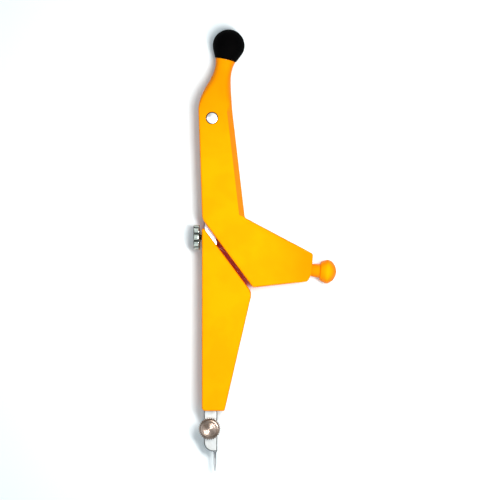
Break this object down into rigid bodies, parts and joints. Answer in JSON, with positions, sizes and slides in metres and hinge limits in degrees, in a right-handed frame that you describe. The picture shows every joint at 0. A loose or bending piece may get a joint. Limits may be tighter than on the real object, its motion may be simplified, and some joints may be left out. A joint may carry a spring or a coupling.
{
  "type": "beam compass leg",
  "caption": "Needle leg of a beam compass: yellow moulded handle with a black press knob, swinging leg set by a thumb wheel, and a clamped needle.",
  "frame": {"origin": "middle of the leg's footprint as it lies on its flat back, at the height of that back face", "axes": "+Y up the leg from the needle's point to the press knob, +X towards the side knob, +Z out of the front face"},
  "size_m": [0.049, 0.1518, 0.011],
  "materials": {
    "yellow_plastic": "satin moulded amber-yellow",
    "black_plastic": "matt black",
    "steel": "fine ground",
    "nickel": "polished nickel plating",
    "bronze": "warm copper-toned plating",
    "brass": "plain turned"
  },
  "bodies": {
    "handle": {"handle_front": "yellow_plastic", "handle_back": "yellow_plastic", "handle_pins": "steel", "pivot_screw": "nickel", "pivot_sleeve_nut": "nickel", "pivot_washers": "steel", "adjuster_bush": "brass", "press_bush": "brass", "side_bush": "brass"},
    "leg": {"leg_bar": "steel", "leg_cover_front": "yellow_plastic", "leg_cover_back": "yellow_plastic", "leg_cover_pins": "steel", "clamp_washer": "bronze"},
    "adjuster": {"adjuster_wheel": "nickel", "adjuster_screw": "nickel", "adjuster_collar": "brass"},
    "clamp": {"clamp_screw": "bronze"},
    "needle_point": {"needle": "steel"},
    "press_ball": {"press_knob": "black_plastic", "press_stud": "steel"},
    "hand_knob": {"side_knob": "yellow_plastic", "side_pin": "steel"}
  },
  "joints": [
    {"name": "adjuster_spin", "type": "hinge", "parent": "handle", "child": "adjuster", "pos_m": [-0.01525, 0.00455, 0.0055], "axis": [1, 0, 0], "range_deg": [-700, 440]},
    {"name": "leg_swing", "type": "hinge", "parent": "handle", "child": "leg", "pos_m": [-0.01806, 0.04507, 0.0055], "axis": [0, 0, 1], "range_deg": [-0.7, 1.1]},
    {"name": "clamp_spin", "type": "hinge", "parent": "leg", "child": "clamp", "pos_m": [-0.01894, -0.06088, 0.0055], "axis": [0, 0, 1], "range_deg": [0, 540]},
    {"name": "needle_slide", "type": "slide", "parent": "leg", "child": "needle_point", "axis": [0, 1, 0], "range_m": [-0.003, 0.003]},
    {"name": "press_ball_spin", "type": "hinge", "parent": "handle", "child": "press_ball", "pos_m": [-0.01361, 0.06533, 0.0055], "axis": [0.2163, 0.9763, 0], "continuous": true},
    {"name": "hand_knob_spin", "type": "hinge", "parent": "handle", "child": "hand_knob", "pos_m": [0.01588, -0.00668, 0.0055], "axis": [0.9949, -0.1009, 0], "continuous": true}
  ],
  "couplings": [
    {"joint": "leg_swing", "follows": "adjuster_spin", "ratio": -0.0015711}
  ]
}
